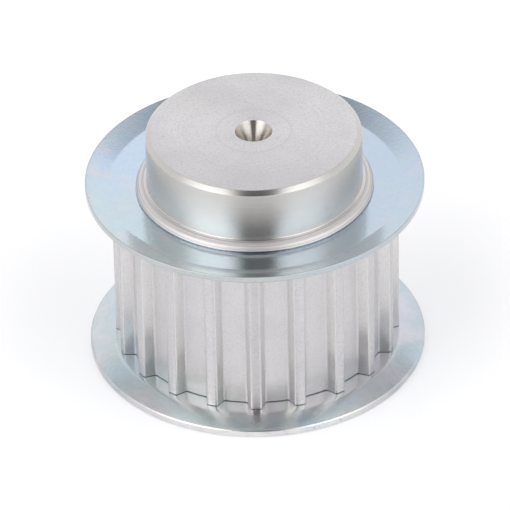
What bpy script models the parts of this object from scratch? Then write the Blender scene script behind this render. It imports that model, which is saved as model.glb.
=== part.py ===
"""Timing belt pulley with 20 teeth of 5 mm pitch, for a belt 16 mm wide.

It has three solid pieces: the aluminium body, which carries the teeth, the hub and the
two collars, and a pressed steel flange on each collar. The collars' edges are rolled out
over the flanges and hold them. The body is supplied unbored, with a centre hole in each
end. The origin is the centre of the end face that the pulley stands on, and +Z runs along
the axis towards the hub.
"""
import math

import bmesh
import bpy

# Driving dimensions of the teeth, in metres
TOOTH_COUNT = 20
TIP_RADIUS = 0.0153
GROOVE_DEPTH = 0.00125
GROOVE_FLOOR_WIDTH = 0.0025
FLANK_ANGLE = math.radians(25)

# Driving dimensions along the axis
TOTAL_LENGTH = 0.027
WIDTH_OVER_COLLARS = 0.021
COLLAR_LENGTH = 0.0016
HUB_CHAMFER_HEIGHT = 0.0004

# Driving dimensions of the turned surfaces
HUB_RADIUS = 0.0115
HUB_CHAMFER_WIDTH = 0.0005
COLLAR_RADIUS = 0.0123
ROLLED_EDGE_RADIUS = 0.0127
ROLLED_EDGE_ROUND = 0.0002

# Driving dimensions of the centre hole in each end, a 60 degree cone on a 1.6 mm drill hole
CENTRE_HOLE_RADIUS = 0.002
CENTRE_HOLE_HALF_ANGLE = math.radians(30)
CENTRE_DRILL_RADIUS = 0.0008
CENTRE_DRILL_DEPTH = 0.0039
CENTRE_DRILL_POINT_HALF_ANGLE = math.radians(59)

# Driving dimensions of the flanges
FLANGE_RADIUS = 0.0181
FLANGE_BEND_RADIUS = 0.01575
FLANGE_THICKNESS = 0.0007
FLANGE_RIM_ROUND = 0.00012
FLANGE_RIM_CLEARANCE = 0.00004   # the rim stays this far inside the collar's face
FLANGE_SEGMENTS = 120

FIT_GAP = 0.00004                # between a flange and each face of the body it touches

# The toothed length lies between the two collars.
TEETH_BOTTOM = COLLAR_LENGTH
TEETH_TOP = WIDTH_OVER_COLLARS - COLLAR_LENGTH
FLANGE_BELT_FACE = TEETH_BOTTOM - FIT_GAP
FLANGE_OUTER_FACE = FLANGE_BELT_FACE - FLANGE_THICKNESS
ROLLED_EDGE_FACE = FLANGE_OUTER_FACE - FIT_GAP


def metal(name, color, roughness):
    """A bare metal material."""
    material = bpy.data.materials.new(name)
    material.use_nodes = True
    shader = material.node_tree.nodes["Principled BSDF"]
    shader.inputs["Base Color"].default_value = (*color, 1.0)
    shader.inputs["Roughness"].default_value = roughness
    shader.inputs["Metallic"].default_value = 1.0
    return material


def around(radius, angle, height):
    """A point at a radius, an angle from +X and a height."""
    return (radius * math.cos(angle), radius * math.sin(angle), height)


def tooth_stations():
    """Radius and angle of each corner of the toothed outline, once round the pulley.

    Each pitch starts at the middle of a land, which faces +X on the first one. A flank
    leaves the groove's floor at FLANK_ANGLE to the groove's centre line.
    """
    root_radius = TIP_RADIUS - GROOVE_DEPTH
    pitch_angle = 2 * math.pi / TOOTH_COUNT
    floor_half = GROOVE_FLOOR_WIDTH / 2
    mouth_half = floor_half + GROOVE_DEPTH * math.tan(FLANK_ANGLE)
    floor_angle = math.asin(floor_half / root_radius)
    mouth_angle = math.asin(mouth_half / TIP_RADIUS)
    stations = []
    for tooth in range(TOOTH_COUNT):
        land = tooth * pitch_angle
        groove = land + pitch_angle / 2
        stations += [
            (TIP_RADIUS, land),
            (TIP_RADIUS, groove - mouth_angle),
            (root_radius, groove - floor_angle),
            (root_radius, groove),
            (root_radius, groove + floor_angle),
            (TIP_RADIUS, groove + mouth_angle),
        ]
    return stations


def ring_solid(name, rings, material, poles=None):
    """A solid whose skin runs from ring to ring.

    It ends in the two poles, or without them it runs from the last ring back to the first.
    """
    mesh = bmesh.new()
    loops = [[mesh.verts.new(point) for point in ring] for ring in rings]
    count = len(rings[0])
    following = loops[1:] if poles else loops[1:] + loops[:1]
    for lower, upper in zip(loops, following):
        for i in range(count):
            j = (i + 1) % count
            mesh.faces.new((lower[i], lower[j], upper[j], upper[i]))
    for point, loop in zip(poles or (), (loops[0], loops[-1])):
        pole = mesh.verts.new(point)
        for i in range(count):
            mesh.faces.new((pole, loop[i], loop[(i + 1) % count]))
    bmesh.ops.recalc_face_normals(mesh, faces=mesh.faces)
    data = bpy.data.meshes.new(name)
    mesh.to_mesh(data)
    mesh.free()
    data.shade_smooth()
    data.set_sharp_from_angle(angle=math.radians(15))
    data.materials.append(material)
    piece = bpy.data.objects.new(name, data)
    bpy.context.collection.objects.link(piece)
    return piece


def make_pulley_body(material):
    """The turned body, with the toothed outline between its two collars."""
    stations = tooth_stations()
    angles = [angle for _, angle in stations]

    def circle(radius, height):
        return [around(radius, angle, height) for angle in angles]

    def toothed(height):
        return [around(radius, angle, height) for radius, angle in stations]

    hub_foot = WIDTH_OVER_COLLARS
    cone_depth = (CENTRE_HOLE_RADIUS - CENTRE_DRILL_RADIUS) / math.tan(CENTRE_HOLE_HALF_ANGLE)
    point_depth = CENTRE_DRILL_DEPTH + CENTRE_DRILL_RADIUS / math.tan(CENTRE_DRILL_POINT_HALF_ANGLE)
    poles = [(0.0, 0.0, point_depth), (0.0, 0.0, TOTAL_LENGTH - point_depth)]
    rings = [
        # centre hole in the end face
        circle(CENTRE_DRILL_RADIUS, CENTRE_DRILL_DEPTH),
        circle(CENTRE_DRILL_RADIUS, cone_depth),
        circle(CENTRE_HOLE_RADIUS, 0.0),
        # rolled edge and collar under the end side flange
        circle(ROLLED_EDGE_RADIUS - ROLLED_EDGE_ROUND, 0.0),
        circle(ROLLED_EDGE_RADIUS, ROLLED_EDGE_ROUND),
        circle(ROLLED_EDGE_RADIUS, ROLLED_EDGE_FACE),
        circle(COLLAR_RADIUS, ROLLED_EDGE_FACE),
        circle(COLLAR_RADIUS, TEETH_BOTTOM),
        toothed(TEETH_BOTTOM),
        toothed(TEETH_TOP),
        # collar and rolled edge over the hub side flange
        circle(COLLAR_RADIUS, TEETH_TOP),
        circle(COLLAR_RADIUS, hub_foot - ROLLED_EDGE_FACE),
        circle(ROLLED_EDGE_RADIUS, hub_foot - ROLLED_EDGE_FACE),
        circle(ROLLED_EDGE_RADIUS, hub_foot - ROLLED_EDGE_ROUND),
        circle(ROLLED_EDGE_RADIUS - ROLLED_EDGE_ROUND, hub_foot),
        # hub, its chamfer and the centre hole in its face
        circle(HUB_RADIUS, hub_foot),
        circle(HUB_RADIUS, TOTAL_LENGTH - HUB_CHAMFER_HEIGHT),
        circle(HUB_RADIUS - HUB_CHAMFER_WIDTH, TOTAL_LENGTH),
        circle(CENTRE_HOLE_RADIUS, TOTAL_LENGTH),
        circle(CENTRE_DRILL_RADIUS, TOTAL_LENGTH - cone_depth),
        circle(CENTRE_DRILL_RADIUS, TOTAL_LENGTH - CENTRE_DRILL_DEPTH),
    ]
    return ring_solid("pulley_body", rings, material, poles)


def flange_profile():
    """The end side flange in section, as radius and height, with its rim bent down."""
    hole = COLLAR_RADIUS + FIT_GAP
    rise = FLANGE_OUTER_FACE - FLANGE_RIM_CLEARANCE
    # The outer face bends a little nearer the axis than the belt face does.
    bend_angle = math.atan2(rise, FLANGE_RADIUS - FLANGE_BEND_RADIUS)
    outer_bend = FLANGE_BEND_RADIUS - FLANGE_THICKNESS * math.tan(bend_angle / 2)
    rim_height = FLANGE_THICKNESS / math.cos(bend_angle)
    rim_belt_edge = FLANGE_RIM_CLEARANCE + rim_height
    return [
        (hole, FLANGE_OUTER_FACE),
        (hole, FLANGE_BELT_FACE),
        (FLANGE_BEND_RADIUS, FLANGE_BELT_FACE),
        (FLANGE_RADIUS - FLANGE_RIM_ROUND, rim_belt_edge),
        (FLANGE_RADIUS, rim_belt_edge - FLANGE_RIM_ROUND),
        (FLANGE_RADIUS, FLANGE_RIM_CLEARANCE + FLANGE_RIM_ROUND),
        (FLANGE_RADIUS - FLANGE_RIM_ROUND, FLANGE_RIM_CLEARANCE),
        (outer_bend, FLANGE_OUTER_FACE),
    ]


def make_flange(name, material, turned_over):
    """A pressed flange. The hub side one is the end side one turned over."""
    step = 2 * math.pi / FLANGE_SEGMENTS
    rings = []
    for radius, height in flange_profile():
        if turned_over:
            height = WIDTH_OVER_COLLARS - height
        rings.append([around(radius, i * step, height) for i in range(FLANGE_SEGMENTS)])
    return ring_solid(name, rings, material)


for old in list(bpy.data.objects):
    bpy.data.objects.remove(old, do_unlink=True)

turned_aluminium = metal("turned_aluminium", (0.80, 0.80, 0.81), 0.35)
zinc_plated_steel = metal("zinc_plated_steel", (0.60, 0.68, 0.76), 0.22)

make_pulley_body(turned_aluminium)
make_flange("end_side_flange", zinc_plated_steel, turned_over=False)
make_flange("hub_side_flange", zinc_plated_steel, turned_over=True)
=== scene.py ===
"""Fine model of a timing belt pulley: its toothed aluminium body and two steel flanges.

The body and both flanges are skins made by geometry nodes from the section that a lathe or
a press tool gives them. The studio around them stands at the end. Sizes are in metres.
"""
import math

import bpy
from mathutils import Matrix, Vector


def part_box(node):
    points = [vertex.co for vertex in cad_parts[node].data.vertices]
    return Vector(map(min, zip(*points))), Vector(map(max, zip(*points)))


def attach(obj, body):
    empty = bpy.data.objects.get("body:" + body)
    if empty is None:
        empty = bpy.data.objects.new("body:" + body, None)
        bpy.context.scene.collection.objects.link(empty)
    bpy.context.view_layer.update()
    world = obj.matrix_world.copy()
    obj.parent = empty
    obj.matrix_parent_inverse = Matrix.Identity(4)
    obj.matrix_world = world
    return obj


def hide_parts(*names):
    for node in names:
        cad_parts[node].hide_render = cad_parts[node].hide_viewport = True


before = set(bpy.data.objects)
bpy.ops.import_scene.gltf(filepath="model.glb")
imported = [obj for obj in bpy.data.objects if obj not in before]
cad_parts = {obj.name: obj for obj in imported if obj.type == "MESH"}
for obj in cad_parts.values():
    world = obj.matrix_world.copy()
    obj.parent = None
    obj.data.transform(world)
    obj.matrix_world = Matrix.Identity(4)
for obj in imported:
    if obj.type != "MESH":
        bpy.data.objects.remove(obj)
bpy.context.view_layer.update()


# ---- Pulley body ----------------------------------------------------------------------
# One piece of aluminium bar with a centre hole in each end, turned on a lathe to its hub and
# two collars. A hob then cut the 20 teeth, and each collar's edge was rolled out over its
# flange. The turned faces carry fine tool marks, and the grooves lines along the axis.

TOOTH_COUNT = 20
GROOVE_DEPTH = 0.00125
GROOVE_FLOOR_WIDTH = 0.0025
FLANK_ANGLE = math.radians(25)
TOOTH_CORNER_ROUND = 0.0003
TOOTH_END_BEVEL = 0.00007
CENTRE_HOLE_RADIUS = 0.002
CENTRE_HOLE_HALF_ANGLE = math.radians(30)
CENTRE_DRILL_RADIUS = 0.0008
CENTRE_DRILL_DEPTH = 0.0039
CENTRE_DRILL_POINT_HALF_ANGLE = math.radians(59)
HUB_RADIUS = 0.0115
HUB_CHAMFER_WIDTH = 0.0005
HUB_CHAMFER_HEIGHT = 0.0004
HUB_FOOT_ROUND = 0.00015
COLLAR_RADIUS = 0.0123
ROLLED_EDGE_RADIUS = 0.0127
ROLLING_MARK_RADIUS = 0.01205     # the rolling tool's edge ran here
FLANGE_THICKNESS = 0.0007
FIT_GAP = 0.00004                 # between the body and each flange

body_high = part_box("pulley_body")[1]
flange_low, flange_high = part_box("hub_side_flange")
tip_radius = body_high.x
hub_top = body_high.z
collar_face = flange_high.z + FIT_GAP
teeth_top = flange_low.z - FIT_GAP
flange_face = flange_low.z + FLANGE_THICKNESS


def add_node(tree, kind, inputs=None, **settings):
    """Adds a node to a tree. An input is a plain value, or the socket that feeds it."""
    node = tree.nodes.new(kind)
    for name, value in settings.items():
        setattr(node, name, value)
    for name, value in (inputs or {}).items():
        if isinstance(value, bpy.types.NodeSocket):
            tree.links.new(value, node.inputs[name])
        else:
            node.inputs[name].default_value = value
    return node


def reckon(tree, operation, *values):
    """The result of a math node on numbers and sockets."""
    return add_node(tree, "ShaderNodeMath", dict(enumerate(values)), operation=operation).outputs[0]


def vector_math(tree, operation, *values):
    """The result of a vector math node, which is a number where the node gives one."""
    node = add_node(tree, "ShaderNodeVectorMath", dict(enumerate(values)), operation=operation)
    gives_number = operation in ("LENGTH", "DOT_PRODUCT")
    return node.outputs["Value" if gives_number else "Vector"]


def new_geometry_tree(name, inputs):
    """A geometry nodes tree, with its named inputs and their socket types."""
    tree = bpy.data.node_groups.new(name, "GeometryNodeTree")
    for label, kind in inputs.items():
        tree.interface.new_socket(label, in_out="INPUT", socket_type="NodeSocket" + kind)
    tree.interface.new_socket("Geometry", in_out="OUTPUT", socket_type="NodeSocketGeometry")
    return tree, tree.nodes.new("NodeGroupInput").outputs, tree.nodes.new("NodeGroupOutput").inputs


def skin_tree():
    """A closed skin that carries a section round an outline.

    A point of the section holds its radius as x and its height as z. Where its "toothed"
    attribute is 1 its x counts from the outline instead, and "wander" lets it fall short
    of its radius unevenly round the piece. One seam row joins the section's end to its
    start, and none leaves both ends on the axis.
    """
    tree, given, result = new_geometry_tree("section_round_an_outline", {
        "Section": "Geometry",
        "Outline": "Geometry",
        "Seam Rows": "Int",
        "Material": "Material",
    })

    def count(component, geometry):
        size = add_node(tree, "GeometryNodeAttributeDomainSize", {"Geometry": geometry},
                        component=component)
        return size.outputs["Point Count"]

    def sampled(geometry, kind, value, index):
        sample = add_node(tree, "GeometryNodeSampleIndex",
                          {"Geometry": geometry, "Value": value, "Index": index},
                          data_type=kind, domain="POINT")
        return sample.outputs["Value"]

    def named(name):
        attribute = add_node(tree, "GeometryNodeInputNamedAttribute", {"Name": name},
                             data_type="FLOAT")
        return attribute.outputs["Attribute"]

    columns = count("CURVE", given["Outline"])
    rows = count("MESH", given["Section"])
    rows_and_seam = reckon(tree, "ADD", rows, given["Seam Rows"])
    grid = add_node(tree, "GeometryNodeMeshGrid", {
        "Vertices X": reckon(tree, "ADD", columns, 1),
        "Vertices Y": rows_and_seam,
    })
    index = add_node(tree, "GeometryNodeInputIndex").outputs[0]
    past_start = reckon(tree, "ADD", index, 0.5)
    column = reckon(tree, "FLOOR", reckon(tree, "DIVIDE", past_start, rows_and_seam))
    row = reckon(tree, "SUBTRACT", index, reckon(tree, "MULTIPLY", column, rows_and_seam))
    column = reckon(tree, "MODULO", column, columns)
    row = reckon(tree, "MODULO", row, rows)

    position = add_node(tree, "GeometryNodeInputPosition").outputs[0]
    outline_point = sampled(given["Outline"], "FLOAT_VECTOR", position, column)
    section_point = sampled(given["Section"], "FLOAT_VECTOR", position, row)
    toothed = sampled(given["Section"], "FLOAT", named("toothed"), row)
    wander = sampled(given["Section"], "FLOAT", named("wander"), row)
    section_parts = add_node(tree, "ShaderNodeSeparateXYZ", {0: section_point}).outputs
    outwards = vector_math(tree, "NORMALIZE", outline_point)
    reach = vector_math(tree, "LENGTH", outline_point)
    unevenness = add_node(tree, "ShaderNodeTexNoise",
                          {"Vector": outwards, "Scale": 9.0, "Detail": 3.0}).outputs[0]
    radius = reckon(tree, "MULTIPLY_ADD", reach, toothed, section_parts["X"])
    radius = reckon(tree, "SUBTRACT", radius, reckon(tree, "MULTIPLY", unevenness, wander))
    around_axis = add_node(tree, "ShaderNodeVectorMath", {0: outwards, "Scale": radius},
                           operation="SCALE").outputs[0]
    lift = add_node(tree, "ShaderNodeCombineXYZ", {"Z": section_parts["Z"]}).outputs[0]
    place = vector_math(tree, "ADD", around_axis, lift)

    moved = add_node(tree, "GeometryNodeSetPosition",
                     {"Geometry": grid.outputs["Mesh"], "Position": place})
    joined = add_node(tree, "GeometryNodeMergeByDistance",
                      {"Geometry": moved.outputs[0], "Distance": 1e-7})
    single = add_node(tree, "GeometryNodeRealizeInstances", {"Geometry": joined.outputs[0]})
    painted = add_node(tree, "GeometryNodeSetMaterial",
                       {"Geometry": single.outputs[0], "Material": given["Material"]})
    tree.links.new(painted.outputs[0], result["Geometry"])
    return tree


section_round_an_outline = skin_tree()


def toothed_tree():
    """The section carried round an outline of teeth, the first of which faces +X."""
    tree, given, result = new_geometry_tree("toothed_body", {
        "Section": "Geometry",
        "Teeth": "Int",
        "Tip Radius": "Float",
        "Groove Depth": "Float",
        "Floor Width": "Float",
        "Flank Angle": "Float",
        "Corner Round": "Float",
        "Material": "Material",
    })
    corners_a_pitch = 8
    circle = add_node(tree, "GeometryNodeMeshCircle",
                      {"Vertices": reckon(tree, "MULTIPLY", given["Teeth"], corners_a_pitch)})
    index = add_node(tree, "GeometryNodeInputIndex").outputs[0]
    corner = reckon(tree, "MODULO", index, corners_a_pitch)
    past_start = reckon(tree, "ADD", index, 0.5)
    tooth = reckon(tree, "FLOOR", reckon(tree, "DIVIDE", past_start, corners_a_pitch))
    pitch_angle = reckon(tree, "DIVIDE", math.tau, given["Teeth"])
    half_pitch = reckon(tree, "MULTIPLY", pitch_angle, 0.5)

    root_radius = reckon(tree, "SUBTRACT", given["Tip Radius"], given["Groove Depth"])
    floor_half = reckon(tree, "MULTIPLY", given["Floor Width"], 0.5)
    mouth_half = reckon(tree, "MULTIPLY_ADD", given["Groove Depth"],
                        reckon(tree, "TANGENT", given["Flank Angle"]), floor_half)
    floor_angle = reckon(tree, "ARCSINE", reckon(tree, "DIVIDE", floor_half, root_radius))
    mouth_angle = reckon(tree, "ARCSINE", reckon(tree, "DIVIDE", mouth_half, given["Tip Radius"]))

    # A pitch runs from the middle of a land, over its edge and down the flank to the floor,
    # and the same way back. Both ways count their corners to the middle of the groove.
    past_groove = reckon(tree, "SUBTRACT", corner, corners_a_pitch / 2)
    to_groove = reckon(tree, "ABSOLUTE", past_groove)
    swing = add_node(tree, "GeometryNodeIndexSwitch", {"Index": to_groove}, data_type="FLOAT")
    half_floor_angle = reckon(tree, "MULTIPLY", floor_angle, 0.5)
    steps_from_groove = [0.0, half_floor_angle, floor_angle, mouth_angle, half_pitch]
    while len(swing.index_switch_items) < len(steps_from_groove):
        swing.index_switch_items.new()
    for place, angle in enumerate(steps_from_groove):
        if place:
            tree.links.new(angle, swing.inputs[place + 1])
    side = reckon(tree, "SIGN", past_groove)
    angle = reckon(tree, "MULTIPLY_ADD", tooth, pitch_angle, half_pitch)
    angle = reckon(tree, "MULTIPLY_ADD", side, swing.outputs[0], angle)
    on_tip = reckon(tree, "GREATER_THAN", to_groove, 2.5)
    radius = reckon(tree, "MULTIPLY_ADD", on_tip, given["Groove Depth"], root_radius)
    place = add_node(tree, "ShaderNodeCombineXYZ", {
        "X": reckon(tree, "MULTIPLY", radius, reckon(tree, "COSINE", angle)),
        "Y": reckon(tree, "MULTIPLY", radius, reckon(tree, "SINE", angle)),
    })
    laid = add_node(tree, "GeometryNodeSetPosition",
                    {"Geometry": circle.outputs[0], "Position": place.outputs[0]})
    outline = add_node(tree, "GeometryNodeMeshToCurve", {"Mesh": laid.outputs[0]})
    # Only the flank's two ends are real corners.
    from_flank = reckon(tree, "ABSOLUTE", reckon(tree, "SUBTRACT", to_groove, 2.5))
    is_corner = reckon(tree, "LESS_THAN", from_flank, 1.0)
    rounded_outline = add_node(tree, "GeometryNodeFilletCurve", {
        "Curve": outline.outputs[0],
        "Radius": reckon(tree, "MULTIPLY", is_corner, given["Corner Round"]),
        "Count": 4,
    }, mode="POLY")
    skin = add_node(tree, "GeometryNodeGroup", node_tree=section_round_an_outline)
    tree.links.new(given["Section"], skin.inputs["Section"])
    tree.links.new(rounded_outline.outputs[0], skin.inputs["Outline"])
    skin.inputs["Seam Rows"].default_value = 0
    tree.links.new(given["Material"], skin.inputs["Material"])
    tree.links.new(skin.outputs[0], result["Geometry"])
    return tree


def rounded(corners, closed=False, steps=4):
    """Points along corners of (radius, height, rounding, wander), with an arc at each rounding."""
    points = []
    last = len(corners) - 1
    for i, (x, z, rounding, wander) in enumerate(corners):
        corner = Vector((x, z))
        if rounding == 0 or (not closed and i in (0, last)):
            points.append((x, z, 0.0, wander))
            continue
        back = (Vector(corners[i - 1][:2]) - corner).normalized()
        on = (Vector(corners[(i + 1) % len(corners)][:2]) - corner).normalized()
        half_angle = back.angle(on) / 2
        centre = corner + (back + on).normalized() * rounding / math.sin(half_angle)
        start = corner + back * rounding / math.tan(half_angle) - centre
        end = corner + on * rounding / math.tan(half_angle) - centre
        for step in range(steps + 1):
            spoke = start.lerp(end, step / steps).normalized() * rounding
            points.append((*(centre + spoke), 0.0, wander))
    return points


def made_by_nodes(name, section, tree, values):
    """A plain mesh from a section of (x, z, toothed, wander) points and a geometry tree."""
    data = bpy.data.meshes.new(name + "_section")
    data.from_pydata([(x, 0, z) for x, z, _, _ in section], [], [])
    for label, place in (("toothed", 2), ("wander", 3)):
        attribute = data.attributes.new(label, "FLOAT", "POINT")
        attribute.data.foreach_set("value", [point[place] for point in section])
    carrier = bpy.data.objects.new(name + "_section", data)
    bpy.context.collection.objects.link(carrier)
    modifier = carrier.modifiers.new("skin", "NODES")
    modifier.node_group = tree
    for item in tree.interface.items_tree:
        if item.in_out == "INPUT" and item.name in values:
            modifier[item.identifier] = values[item.name]
    evaluated = carrier.evaluated_get(bpy.context.evaluated_depsgraph_get())
    mesh = bpy.data.meshes.new_from_object(evaluated)
    carrier.modifiers.remove(modifier)
    bpy.data.objects.remove(carrier)
    mesh.name = name
    mesh.materials.clear()   # the grid that the skin began as left an empty slot
    mesh.materials.append(values["Material"])
    mesh.shade_smooth()
    mesh.set_sharp_from_angle(angle=math.radians(24))
    piece = bpy.data.objects.new(name, mesh)
    bpy.context.collection.objects.link(piece)
    return piece


def new_material(name, color, roughness, anisotropic):
    """A bare metal material, its tree and its Principled shader."""
    material = bpy.data.materials.new(name)
    material.use_nodes = True
    tree = material.node_tree
    shader = tree.nodes["Principled BSDF"]
    shader.inputs["Base Color"].default_value = (*color, 1.0)
    shader.inputs["Metallic"].default_value = 1.0
    shader.inputs["Roughness"].default_value = roughness
    shader.inputs["Anisotropic"].default_value = anisotropic
    return material, tree, shader


def spread(tree, value, from_range, to_range, smooth=False):
    """A value carried from one range to another and held there."""
    node = add_node(tree, "ShaderNodeMapRange", {
        "Value": value,
        "From Min": from_range[0], "From Max": from_range[1],
        "To Min": to_range[0], "To Max": to_range[1],
    }, interpolation_type="SMOOTHSTEP" if smooth else "LINEAR")
    return node.outputs["Result"]


def noise(tree, scale, detail=2.0, roughness=0.5, **place):
    """The value of a noise texture, on one number w or on a vector."""
    if "w" in place:
        node = add_node(tree, "ShaderNodeTexNoise", {"W": place["w"]}, noise_dimensions="1D")
    else:
        node = add_node(tree, "ShaderNodeTexNoise", {"Vector": place["vector"]})
    node.inputs["Scale"].default_value = scale
    node.inputs["Detail"].default_value = detail
    node.inputs["Roughness"].default_value = roughness
    return node.outputs[0]


def mixed(tree, amount, first, second, kind="FLOAT"):
    """The first value or socket where the amount is 0 and the second where it is 1."""
    node = add_node(tree, "ShaderNodeMix", {"Factor": amount}, data_type=kind)
    for name, value in (("A", first), ("B", second)):
        socket = next(s for s in node.inputs if s.name == name and s.enabled)
        if isinstance(value, bpy.types.NodeSocket):
            tree.links.new(value, socket)
        else:
            socket.default_value = value
    return next(s for s in node.outputs if s.enabled)


def blend_colors(tree, amount, *colors):
    """A colour between two others, each a colour or a socket."""
    first, second = (c if isinstance(c, bpy.types.NodeSocket) else (*c, 1.0) for c in colors)
    return mixed(tree, amount, first, second, kind="RGBA")


def cylinder_parts(tree):
    """The position in a piece, its x, y and z, and its distance from the axis."""
    position = add_node(tree, "ShaderNodeTexCoord").outputs["Object"]
    parts = add_node(tree, "ShaderNodeSeparateXYZ", {0: position}).outputs
    flat = add_node(tree, "ShaderNodeCombineXYZ", {"X": parts["X"], "Y": parts["Y"]}).outputs[0]
    radius = vector_math(tree, "LENGTH", flat)
    return position, parts, flat, radius


def tinted(tree, color, tints):
    """A colour with each tint blended over it in turn, given as an amount and a colour."""
    for amount, tint in tints:
        color = blend_colors(tree, amount, color, tint)
    return color


def turned_aluminium():
    """Bare aluminium. Tool marks follow the cut: round the axis, and along it in the grooves."""
    material, tree, shader = new_material(
        "bare_aluminium", color=(0.66, 0.65, 0.64), roughness=0.3, anisotropic=1.0)
    position, parts, flat, radius = cylinder_parts(tree)

    def times(first, second):
        return reckon(tree, "MULTIPLY", first, second)

    def outside(distance):
        return reckon(tree, "GREATER_THAN", radius, distance)

    def within(distance):
        return reckon(tree, "LESS_THAN", radius, distance)

    def above(height):
        return reckon(tree, "GREATER_THAN", parts["Z"], height)

    # the body's surfaces, each 1 where it lies and 0 elsewhere
    hair = 0.00002
    land_edge = tip_radius - 0.00006
    groove_floor = tip_radius - GROOVE_DEPTH
    on_land = outside(land_edge)
    in_groove = times(outside(COLLAR_RADIUS + 0.0006), within(land_edge))
    off_floor = spread(tree, radius, (groove_floor + 0.00005, groove_floor + 0.00025), (0.0, 1.0))
    on_flank = times(off_floor, in_groove)
    on_hub_face = above(hub_top - 0.00005)
    on_hub_side = times(above(collar_face + 0.00005), outside(HUB_RADIUS - hair))
    in_centre_hole = within(CENTRE_HOLE_RADIUS - 0.00003)
    on_rolled_edge = times(outside(HUB_RADIUS + 0.0002), above(flange_face + 0.0002))
    on_chamfer = times(outside(HUB_RADIUS - HUB_CHAMFER_WIDTH - hair),
                       above(hub_top - HUB_CHAMFER_HEIGHT - hair))
    upper_side = times(spread(tree, parts["Z"], (hub_top - 0.004, hub_top - 0.001), (0.0, 0.35)),
                       outside(HUB_RADIUS - hair))

    # the lathe's feed, which runs along the radius on a face and along the axis on a side
    feed = reckon(tree, "MULTIPLY_ADD", parts["Z"], -1.37, radius)
    fine_marks = noise(tree, 11000.0, w=feed)
    broad_marks = noise(tree, 1500.0, w=feed)
    # the hob's lines, many round the pulley and long along its axis
    drawn_out = add_node(tree, "ShaderNodeMapping", {"Vector": position, "Scale": (1.0, 1.0, 0.02)})
    hob_lines = noise(tree, 4200.0, detail=3.0, vector=drawn_out.outputs[0])
    marks = mixed(tree, in_groove, fine_marks, hob_lines)

    grain = noise(tree, 7000.0, roughness=0.7, vector=position)
    pits = noise(tree, 4600.0, detail=3.0, roughness=0.8, vector=position)
    specks = noise(tree, 2600.0, vector=position)
    stain = noise(tree, 260.0, detail=3.0, vector=position)
    smudges = noise(tree, 140.0, vector=position)
    tone = reckon(tree, "MULTIPLY_ADD", marks, 0.3, times(stain, 0.4))
    tone = reckon(tree, "MULTIPLY_ADD", mixed(tree, in_groove, broad_marks, grain), 0.3, tone)

    rings = times(on_hub_face, spread(tree, broad_marks, (0.50, 0.70), (0.0, 0.35)))
    # painted shade: the hub's end face is darker towards its front
    painted_front_shade = times(on_hub_face, spread(tree, parts["Y"], (-0.011, 0.001), (0.5, 0.0)))
    pitted = times(spread(tree, pits, (0.48, 0.66), (0.0, 0.48)), mixed(tree, in_groove, 1.0, 0.6))
    rolling_lines = spread(tree, noise(tree, 5200.0, w=feed), (0.38, 0.62), (0.0, 1.0))
    rolled = blend_colors(tree, rolling_lines, (0.50, 0.47, 0.45), (0.80, 0.775, 0.765))
    bare = blend_colors(tree, spread(tree, tone, (0.35, 0.65), (0.0, 1.0)),
                        (0.635, 0.622, 0.61), (0.70, 0.69, 0.68))
    color = tinted(tree, bare, [
        (spread(tree, smudges, (0.5, 0.7), (0.0, 0.6)), (0.545, 0.53, 0.54)),
        (times(on_flank, 0.7), (0.80, 0.79, 0.75)),
        (spread(tree, specks, (0.66, 0.74), (0.0, 0.5)), (0.42, 0.41, 0.40)),
        (times(in_centre_hole, 0.8), (0.52, 0.48, 0.41)),
        (times(in_groove, 0.45), (0.78, 0.765, 0.775)),
        (rings, (0.50, 0.48, 0.49)),
        # painted shade on the front of the hub's end face
        (painted_front_shade, (0.54, 0.525, 0.53)),
        (times(on_land, 0.55), (0.60, 0.585, 0.595)),
        (pitted, (0.44, 0.425, 0.435)),
        (upper_side, (0.46, 0.465, 0.455)),
        # painted warm tint on the hub's side, which offsets the blue that it reflects from the flange
        (times(on_hub_side, 0.5), (0.64, 0.615, 0.57)),
        (times(on_rolled_edge, 0.85), rolled),
        (times(on_chamfer, 0.8), (0.54, 0.525, 0.485)),
    ])
    tree.links.new(color, shader.inputs["Base Color"])

    roughness = mixed(tree, in_groove, 0.245, 0.34)
    roughness = mixed(tree, in_centre_hole, roughness, 0.2)
    roughness = mixed(tree, on_rolled_edge, roughness, 0.45)
    roughness = reckon(tree, "MULTIPLY_ADD", tone, -0.08, reckon(tree, "ADD", roughness, 0.04))
    tree.links.new(roughness, shader.inputs["Roughness"])
    # the faced end, the chamfer and most of all the rolled edge are more evenly matt
    evenness = times(reckon(tree, "MAXIMUM", on_hub_face, on_chamfer), 0.28)
    evenness = reckon(tree, "MAXIMUM", evenness, on_rolled_edge)
    tree.links.new(reckon(tree, "SUBTRACT", 1.0, evenness), shader.inputs["Anisotropic"])

    # a tool mark spreads the light across itself
    outwards = vector_math(tree, "NORMALIZE", flat)
    across_feed = vector_math(tree, "ADD", outwards, (0, 0, -1))
    round_axis = vector_math(tree, "CROSS_PRODUCT", (0, 0, 1), outwards)
    tangent = mixed(tree, in_groove, across_feed, round_axis, kind="VECTOR")
    tree.links.new(tangent, shader.inputs["Tangent"])

    depth = mixed(tree, reckon(tree, "MAXIMUM", on_hub_face, in_groove), 0.5, 1.0)
    relief = times(reckon(tree, "MULTIPLY_ADD", pits, 1.2, marks), depth)
    bump = add_node(tree, "ShaderNodeBump", {"Height": relief, "Distance": 0.000003, "Strength": 0.5})
    tree.links.new(bump.outputs[0], shader.inputs["Normal"])
    return material


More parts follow.
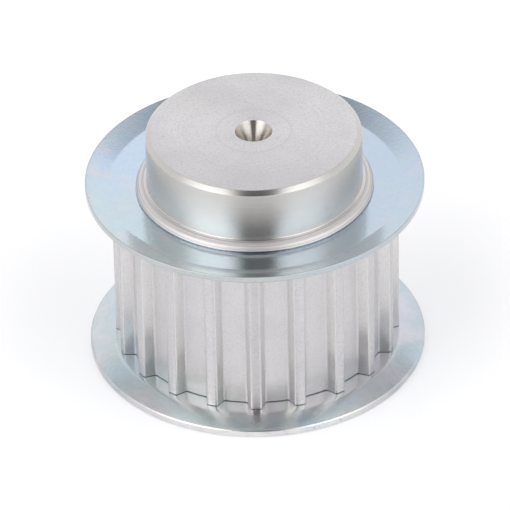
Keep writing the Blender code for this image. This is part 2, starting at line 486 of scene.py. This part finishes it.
def rolled_edge():
    """The collar's edge from the flange's outer face inwards, with heights from the collar's face."""
    foot = flange_face + 0.00001 - collar_face
    uneven = 0.00005
    return [
        (COLLAR_RADIUS, foot, 0.0, 0.0),
        (ROLLED_EDGE_RADIUS - 0.00008, foot, 0.00006, uneven),
        (ROLLED_EDGE_RADIUS, foot + 0.0002, 0.00008, uneven),
        (ROLLED_EDGE_RADIUS - 0.00033, -0.0002, 0.00012, uneven),
        (ROLLING_MARK_RADIUS + 0.00004, -0.0001, 0.00003, 0.0),
        (ROLLING_MARK_RADIUS, -0.00012, 0.00002, 0.0),
        (ROLLING_MARK_RADIUS - 0.00004, -0.00007, 0.00003, 0.0),
        (HUB_RADIUS + 0.00025, -0.00001, 0.00006, 0.0),
    ]


def body_section():
    """The body's section, from the bottom of one centre hole round to that of the other."""
    end_face_up = [(x, -z, rounding, wander) for x, z, rounding, wander in reversed(rolled_edge())]
    hub_face_up = [(x, collar_face + z, rounding, wander) for x, z, rounding, wander in rolled_edge()]
    teeth_bottom = collar_face - teeth_top
    cone_depth = (CENTRE_HOLE_RADIUS - CENTRE_DRILL_RADIUS) / math.tan(CENTRE_HOLE_HALF_ANGLE)
    point_depth = CENTRE_DRILL_DEPTH + CENTRE_DRILL_RADIUS / math.tan(CENTRE_DRILL_POINT_HALF_ANGLE)
    lower = [
        (0.0, point_depth, 0.0, 0.0),
        (CENTRE_DRILL_RADIUS, CENTRE_DRILL_DEPTH, 0.00003, 0.0),
        (CENTRE_DRILL_RADIUS, cone_depth, 0.00004, 0.0),
        (CENTRE_HOLE_RADIUS, 0.0, 0.00004, 0.0),
        *end_face_up,
        (COLLAR_RADIUS, teeth_bottom, 0.0, 0.0),
    ]
    teeth = [
        (-TOOTH_END_BEVEL, teeth_bottom, 1.0, 0.0),
        (0.0, teeth_bottom + TOOTH_END_BEVEL, 1.0, 0.0),
        (0.0, teeth_top - TOOTH_END_BEVEL, 1.0, 0.0),
        (-TOOTH_END_BEVEL, teeth_top, 1.0, 0.0),
    ]
    upper = [
        (COLLAR_RADIUS, teeth_top, 0.0, 0.0),
        *hub_face_up,
        (HUB_RADIUS, collar_face, HUB_FOOT_ROUND, 0.0),
        (HUB_RADIUS, hub_top - HUB_CHAMFER_HEIGHT, 0.00008, 0.0),
        (HUB_RADIUS - HUB_CHAMFER_WIDTH, hub_top, 0.00008, 0.0),
        (CENTRE_HOLE_RADIUS, hub_top, 0.00004, 0.0),
        (CENTRE_DRILL_RADIUS, hub_top - cone_depth, 0.00004, 0.0),
        (CENTRE_DRILL_RADIUS, hub_top - CENTRE_DRILL_DEPTH, 0.00003, 0.0),
        (0.0, hub_top - point_depth, 0.0, 0.0),
    ]
    return rounded(lower) + teeth + rounded(upper)


aluminium = turned_aluminium()
pulley_body = made_by_nodes("toothed_pulley_body", body_section(), toothed_tree(), {
    "Teeth": TOOTH_COUNT,
    "Tip Radius": tip_radius,
    "Groove Depth": GROOVE_DEPTH,
    "Floor Width": GROOVE_FLOOR_WIDTH,
    "Flank Angle": FLANK_ANGLE,
    "Corner Round": TOOTH_CORNER_ROUND,
    "Material": aluminium,
})
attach(pulley_body, "root")
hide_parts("pulley_body")


# ---- Flanges --------------------------------------------------------------------------
# Two rings pressed from sheet steel, with their rims bent away from the belt, and bright
# zinc plated with a faint blue and yellow tint. The second is the first one turned over.

FLANGE_BEND_RADIUS = 0.01575
FLANGE_BEND_ROUND = 0.0012
FLANGE_RIM_ROUND = 0.0002
FLANGE_BURR_ROUND = 0.00006
FLANGE_STEPS_ROUND = 384
rim_radius = flange_high.x


def ring_tree():
    """The section carried round a plain circle."""
    tree, given, result = new_geometry_tree("pressed_ring", {
        "Section": "Geometry",
        "Steps Round": "Int",
        "Material": "Material",
    })
    circle = add_node(tree, "GeometryNodeCurvePrimitiveCircle", {"Resolution": given["Steps Round"]})
    skin = add_node(tree, "GeometryNodeGroup", node_tree=section_round_an_outline)
    tree.links.new(given["Section"], skin.inputs["Section"])
    tree.links.new(circle.outputs["Curve"], skin.inputs["Outline"])
    skin.inputs["Seam Rows"].default_value = 1
    tree.links.new(given["Material"], skin.inputs["Material"])
    tree.links.new(skin.outputs[0], result["Geometry"])
    return tree


def zinc_plated_steel():
    """Bright zinc plate with a fine mottle, blue and straw tints and a worn edge."""
    material, tree, shader = new_material(
        "bright_zinc_plate", color=(0.60, 0.68, 0.77), roughness=0.17, anisotropic=0.0)
    position, parts, _, radius = cylinder_parts(tree)
    cloud = noise(tree, 150.0, vector=position)
    iridescence = noise(tree, 210.0, detail=3.0, vector=position)
    patches = noise(tree, 420.0, vector=position)
    scuffs = noise(tree, 900.0, detail=4.0, roughness=0.7, vector=position)
    mottle = noise(tree, 3000.0, detail=1.0, vector=position)
    pits = noise(tree, 3800.0, detail=3.0, roughness=0.75, vector=position)
    grain = noise(tree, 6000.0, vector=position)

    # The film is bluest away from the front and on the upper ring, and thins towards the rim.
    lower_film = spread(tree, parts["Z"], (0.002, 0.019), (0.5, 0.0))
    straw = reckon(tree, "MULTIPLY_ADD", parts["Y"], -32.0, cloud)
    straw = reckon(tree, "ADD", straw, lower_film)
    straw = reckon(tree, "ADD", straw, spread(tree, radius, (0.0164, 0.0174), (0.0, 0.2)))
    straw = reckon(tree, "MULTIPLY_ADD", parts["X"], -12.0, straw)
    film = blend_colors(tree, spread(tree, straw, (0.3, 1.2), (0.0, 1.0)),
                        (0.535, 0.65, 0.80), (0.56, 0.66, 0.665))

    at_edge = spread(tree, radius, (rim_radius - 0.00025, rim_radius - 0.0001), (0.0, 0.8))
    # painted shade: the flanges are darker and bluer towards their right side
    painted_right_shade = spread(tree, parts["X"], (0.0, 0.009), (0.0, 0.45))
    # the ring on the table side is duller and its film is patchy; painted light makes its front lighter
    low_ring = spread(tree, parts["Z"], (0.002, 0.019), (1.0, 0.0))
    front = spread(tree, parts["Y"], (-0.016, -0.010), (0.8, 0.0))
    rosy = spread(tree, iridescence, (0.48, 0.62), (0.0, 0.55))
    blue = spread(tree, iridescence, (0.48, 0.36), (0.0, 0.45))
    # fine dark pits, which gather along the sheared rim
    at_rim = spread(tree, radius, (rim_radius - 0.0009, rim_radius - 0.0002), (0.3, 0.9))
    pitted = reckon(tree, "MULTIPLY", at_rim, spread(tree, pits, (0.56, 0.70), (0.0, 0.7)))
    color = tinted(tree, film, [
        (spread(tree, patches, (0.52, 0.66), (0.0, 0.5)), (0.56, 0.69, 0.70)),
        (spread(tree, patches, (0.46, 0.34), (0.0, 0.5)), (0.66, 0.66, 0.72)),
        (spread(tree, scuffs, (0.45, 0.75), (0.0, 0.3)), (0.70, 0.74, 0.78)),
        (at_edge, (0.52, 0.525, 0.52)),
        # painted shade on the flanges' right side
        (painted_right_shade, (0.47, 0.545, 0.60)),
        (reckon(tree, "MULTIPLY", low_ring, 0.2), (0.40, 0.41, 0.41)),
        # painted light on the front of the ring on the table side
        (reckon(tree, "MULTIPLY", low_ring, front), (0.86, 0.85, 0.80)),
        (reckon(tree, "MULTIPLY", low_ring, rosy), (0.70, 0.655, 0.70)),
        (reckon(tree, "MULTIPLY", low_ring, blue), (0.56, 0.66, 0.76)),
        (pitted, (0.36, 0.36, 0.33)),
    ])
    tree.links.new(color, shader.inputs["Base Color"])

    rough = reckon(tree, "MULTIPLY_ADD", grain, 0.4, reckon(tree, "MULTIPLY", scuffs, 0.6))
    rough = spread(tree, rough, (0.35, 0.65), (0.11, 0.21))
    rough = reckon(tree, "MULTIPLY_ADD", low_ring, 0.05, rough)
    tree.links.new(rough, shader.inputs["Roughness"])
    relief = reckon(tree, "MULTIPLY_ADD", pits, 1.2, grain)
    relief = reckon(tree, "MULTIPLY_ADD", mottle, 3.0, relief)
    relief = reckon(tree, "MULTIPLY_ADD", cloud, 4.0, relief)
    bump = add_node(tree, "ShaderNodeBump", {"Height": relief, "Distance": 0.000004, "Strength": 0.6})
    tree.links.new(bump.outputs[0], shader.inputs["Normal"])
    return material


def flange_section(turned_over):
    """The end side flange's section, or the hub side one's, with its rim bent outwards."""
    hole = COLLAR_RADIUS + FIT_GAP
    belt_face = collar_face - flange_low.z
    outer_face = belt_face - FLANGE_THICKNESS
    rise = outer_face - FIT_GAP
    bend_angle = math.atan2(rise, rim_radius - FLANGE_BEND_RADIUS)
    outer_bend = FLANGE_BEND_RADIUS - FLANGE_THICKNESS * math.tan(bend_angle / 2)
    rim_belt_edge = FIT_GAP + FLANGE_THICKNESS / math.cos(bend_angle)
    uneven = 0.00003
    corners = [
        (hole, belt_face, 0.00008, 0.0),
        (hole, outer_face, 0.00008, 0.0),
        (outer_bend, outer_face, FLANGE_BEND_ROUND, 0.0),
        (rim_radius, FIT_GAP, FLANGE_BURR_ROUND, uneven),
        (rim_radius, rim_belt_edge, FLANGE_RIM_ROUND, uneven),
        (FLANGE_BEND_RADIUS, belt_face, FLANGE_BEND_ROUND + FLANGE_THICKNESS, 0.0),
    ]
    section = rounded(corners, closed=True)
    if turned_over:
        section = [(x, collar_face - z, toothed, wander) for x, z, toothed, wander in reversed(section)]
    return section


zinc = zinc_plated_steel()
pressed_ring = ring_tree()
for side in ("end_side", "hub_side"):
    flange = made_by_nodes(side + "_pressed_flange", flange_section(side == "hub_side"), pressed_ring, {
        "Steps Round": FLANGE_STEPS_ROUND,
        "Material": zinc,
    })
    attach(flange, "root")
    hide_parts(side + "_flange")


# ---- Studio ---------------------------------------------------------------------------
# The pulley stands on a white table in a white tent. A gap at the tent's front, where the
# camera looks in, is dark, and a soft box stands on each side of it.

FLOOR_REACH = 1.5
CAMERA_TURN = math.radians(1.19)
CAMERA_LIFT = math.radians(35.666)
CAMERA_ROLL = math.radians(1.2)
CAMERA_DISTANCE = 0.65444
CAMERA_SHIFT_RIGHT = -0.000159
CAMERA_SHIFT_UP = 0.0016
LENS = 429.5
TARGET_HEIGHT = 0.00885
TENT_LIGHT = 1.08
GAP_MIDDLE = 0.03      # as the x of a direction, so the gap stands a little to the right
GAP_LIGHT = 0.11       # the share of the tent's light that the gap gives


def make_floor():
    """A white table top, bright enough that its shadows stay faint."""
    data = bpy.data.meshes.new("floor")
    corners = [(-1, -1), (1, -1), (1, 1), (-1, 1)]
    points = [(x * FLOOR_REACH, y * FLOOR_REACH, 0) for x, y in corners]
    data.from_pydata(points, [], [(0, 1, 2, 3)])
    floor = bpy.data.objects.new("floor", data)
    bpy.context.collection.objects.link(floor)
    material = bpy.data.materials.new("white_table")
    material.use_nodes = True
    shader = material.node_tree.nodes["Principled BSDF"]
    shader.inputs["Base Color"].default_value = (0.8, 0.8, 0.8, 1.0)
    shader.inputs["Roughness"].default_value = 0.9
    shader.inputs["Emission Color"].default_value = (1.0, 1.0, 1.0, 1.0)
    shader.inputs["Emission Strength"].default_value = 0.25
    data.materials.append(material)


def make_tent():
    """The tent's light by direction: its cloth, then round patches that add or take light."""
    world = bpy.data.worlds.new("tent")
    bpy.context.scene.world = world
    world.use_nodes = True
    tree = world.node_tree
    direction = add_node(tree, "ShaderNodeTexCoord").outputs["Generated"]
    light = TENT_LIGHT
    patches = [
        # azimuth to the right of the front, elevation, half width, soft edge, light
        (-44, 28, 18, 34, 0.95),     # left soft box
        (47, 30, 18, 36, 0.58),      # right soft box
        (-62, 61, 13, 32, 0.72),     # left soft box, overhead
        (70, 65, 13, 28, 0.80),      # right soft box, overhead
        (-137, 56, 12, 24, -0.45),   # left seam
        (138, 56, 14, 24, -0.50),    # right seam
        (184, 66, 10, 22, -0.40),    # back's upper edge
        (0, 90, 7, 12, 0.50),        # opening overhead
    ]
    for azimuth, elevation, half_width, edge, strength in patches:
        a, e = math.radians(azimuth), math.radians(elevation)
        centre = (math.sin(a) * math.cos(e), -math.cos(a) * math.cos(e), math.sin(e))
        nearness = vector_math(tree, "DOT_PRODUCT", direction, centre)
        outer = math.cos(math.radians(half_width + edge / 2))
        inner = math.cos(math.radians(max(half_width - edge / 2, 0)))
        patch = spread(tree, nearness, (outer, inner), (0.0, strength), smooth=True)
        light = reckon(tree, "ADD", light, patch)
    # the gap between the soft boxes, which the camera looks in through and which ends overhead
    parts = add_node(tree, "ShaderNodeSeparateXYZ", {0: direction}).outputs
    from_middle = reckon(tree, "ABSOLUTE", reckon(tree, "SUBTRACT", parts["X"], GAP_MIDDLE))
    beside = spread(tree, from_middle, (0.15, 0.38), (0.0, 1.0), smooth=True)
    below = spread(tree, parts["Z"], (0.0, 0.75), (0.4, 0.0), smooth=True)
    behind = spread(tree, parts["Y"], (-0.2, 0.3), (0.0, 1.0), smooth=True)
    open_share = reckon(tree, "MAXIMUM", beside, reckon(tree, "MAXIMUM", below, behind))
    light = reckon(tree, "MULTIPLY", light, spread(tree, open_share, (0.0, 1.0), (GAP_LIGHT, 1.0)))
    background = tree.nodes["Background"]
    background.inputs["Color"].default_value = (0.99, 0.99, 1.02, 1.0)
    tree.links.new(light, background.inputs["Strength"])


def make_camera():
    """A long lens that looks down at the pulley, with its right side raised a little."""
    turn, lift = CAMERA_TURN, CAMERA_LIFT
    back = Vector((math.sin(turn) * math.cos(lift), -math.cos(turn) * math.cos(lift), math.sin(lift)))
    level = Vector((math.cos(turn), math.sin(turn), 0))
    upright = back.cross(level)
    right = math.cos(CAMERA_ROLL) * level - math.sin(CAMERA_ROLL) * upright
    up = math.sin(CAMERA_ROLL) * level + math.cos(CAMERA_ROLL) * upright
    target = Vector((0, 0, TARGET_HEIGHT))
    camera = bpy.data.objects.new("camera", bpy.data.cameras.new("camera"))
    camera.data.lens = LENS
    camera.data.clip_start = 0.05
    camera.data.clip_end = 3.0
    place = target + back * CAMERA_DISTANCE + right * CAMERA_SHIFT_RIGHT + up * CAMERA_SHIFT_UP
    facing = Matrix((right, up, back)).transposed().to_4x4()
    camera.matrix_world = Matrix.Translation(place) @ facing
    bpy.context.collection.objects.link(camera)
    bpy.context.scene.camera = camera


make_floor()
make_tent()
make_camera()
bpy.context.scene.view_settings.view_transform = "Standard"
